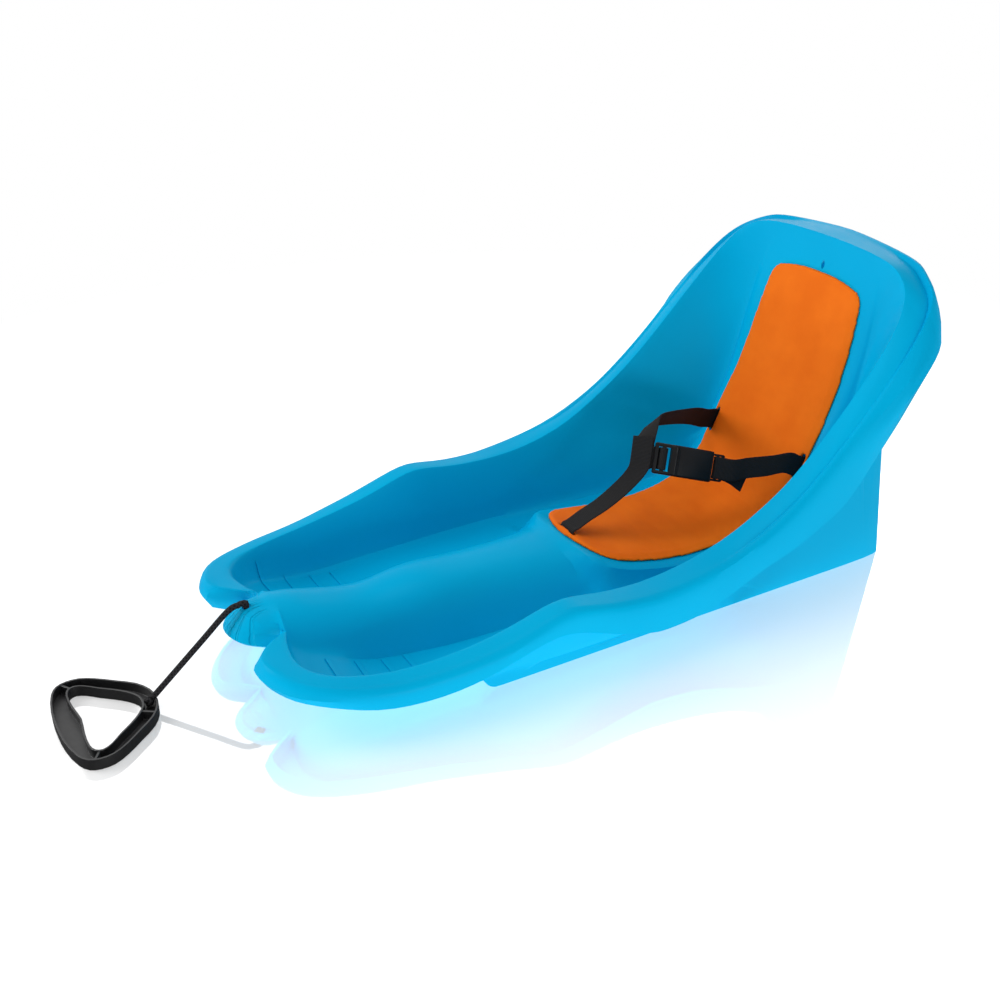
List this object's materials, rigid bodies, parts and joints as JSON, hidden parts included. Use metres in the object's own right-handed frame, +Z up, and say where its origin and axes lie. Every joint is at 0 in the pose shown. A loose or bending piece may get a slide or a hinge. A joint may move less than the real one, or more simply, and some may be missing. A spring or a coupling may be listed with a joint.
{
  "type": "baby pull sled",
  "caption": "Moulded child's pull sled with a bucket seat, foam pad, buckled lap belt and a rope with a loop grip.",
  "frame": {"origin": "on the ground at mid-width, about half way along the shell", "axes": "+Y from the nose to the back rest, +X to the sled's left, +Z up"},
  "size_m": [0.3924, 0.9495, 0.3484],
  "materials": {
    "shell": "satin",
    "pad": "matt",
    "webbing": "matt",
    "buckle_plastic": "satin",
    "rope": "matt",
    "handle_plastic": "satin"
  },
  "bodies": {
    "sled": {"sled_shell": "shell", "seat_pad": "pad", "crotch_strap": "webbing", "lap_strap_right": "webbing", "lap_strap_left": "webbing", "anchor_crotch": "buckle_plastic", "anchor_right": "buckle_plastic", "anchor_left": "buckle_plastic", "buckle_housing": "buckle_plastic", "nose_knot": "rope"},
    "plug": {"buckle_plug": "buckle_plastic"},
    "prong_top": {"prong_upper": "buckle_plastic"},
    "prong_bottom": {"prong_lower": "buckle_plastic"},
    "rope": {"pull_rope": "rope"},
    "grip": {"pull_handle": "handle_plastic", "handle_knot": "rope"}
  },
  "joints": [
    {"name": "plug_slide", "type": "slide", "parent": "sled", "child": "plug", "axis": [0.3948, 0.8899, -0.2283], "range_m": [0, 0.044], "deforming": ["lap_strap_left"]},
    {"name": "prong_upper_press", "type": "hinge", "parent": "plug", "child": "prong_top", "pos_m": [0.03237, 0.17228, 0.12755], "axis": [0.8565, -0.2666, 0.442], "range_deg": [0, 7], "stiffness_Nm_per_rad": 0.05},
    {"name": "prong_lower_press", "type": "hinge", "parent": "plug", "child": "prong_bottom", "pos_m": [0.03995, 0.16384, 0.10777], "axis": [-0.8565, 0.2666, -0.442], "range_deg": [0, 7], "stiffness_Nm_per_rad": 0.05},
    {"name": "rope_swing", "type": "hinge", "parent": "sled", "child": "rope", "pos_m": [0, -0.36103, 0.08617], "axis": [-1, 0, 0], "range_deg": [0, 85]},
    {"name": "handle_pivot", "type": "hinge", "parent": "rope", "child": "grip", "pos_m": [0, -0.46652, 0.0075], "axis": [-1, 0, 0], "range_deg": [0, 70]}
  ],
  "couplings": [
    {"joint": "prong_lower_press", "follows": "prong_upper_press", "ratio": 1}
  ]
}
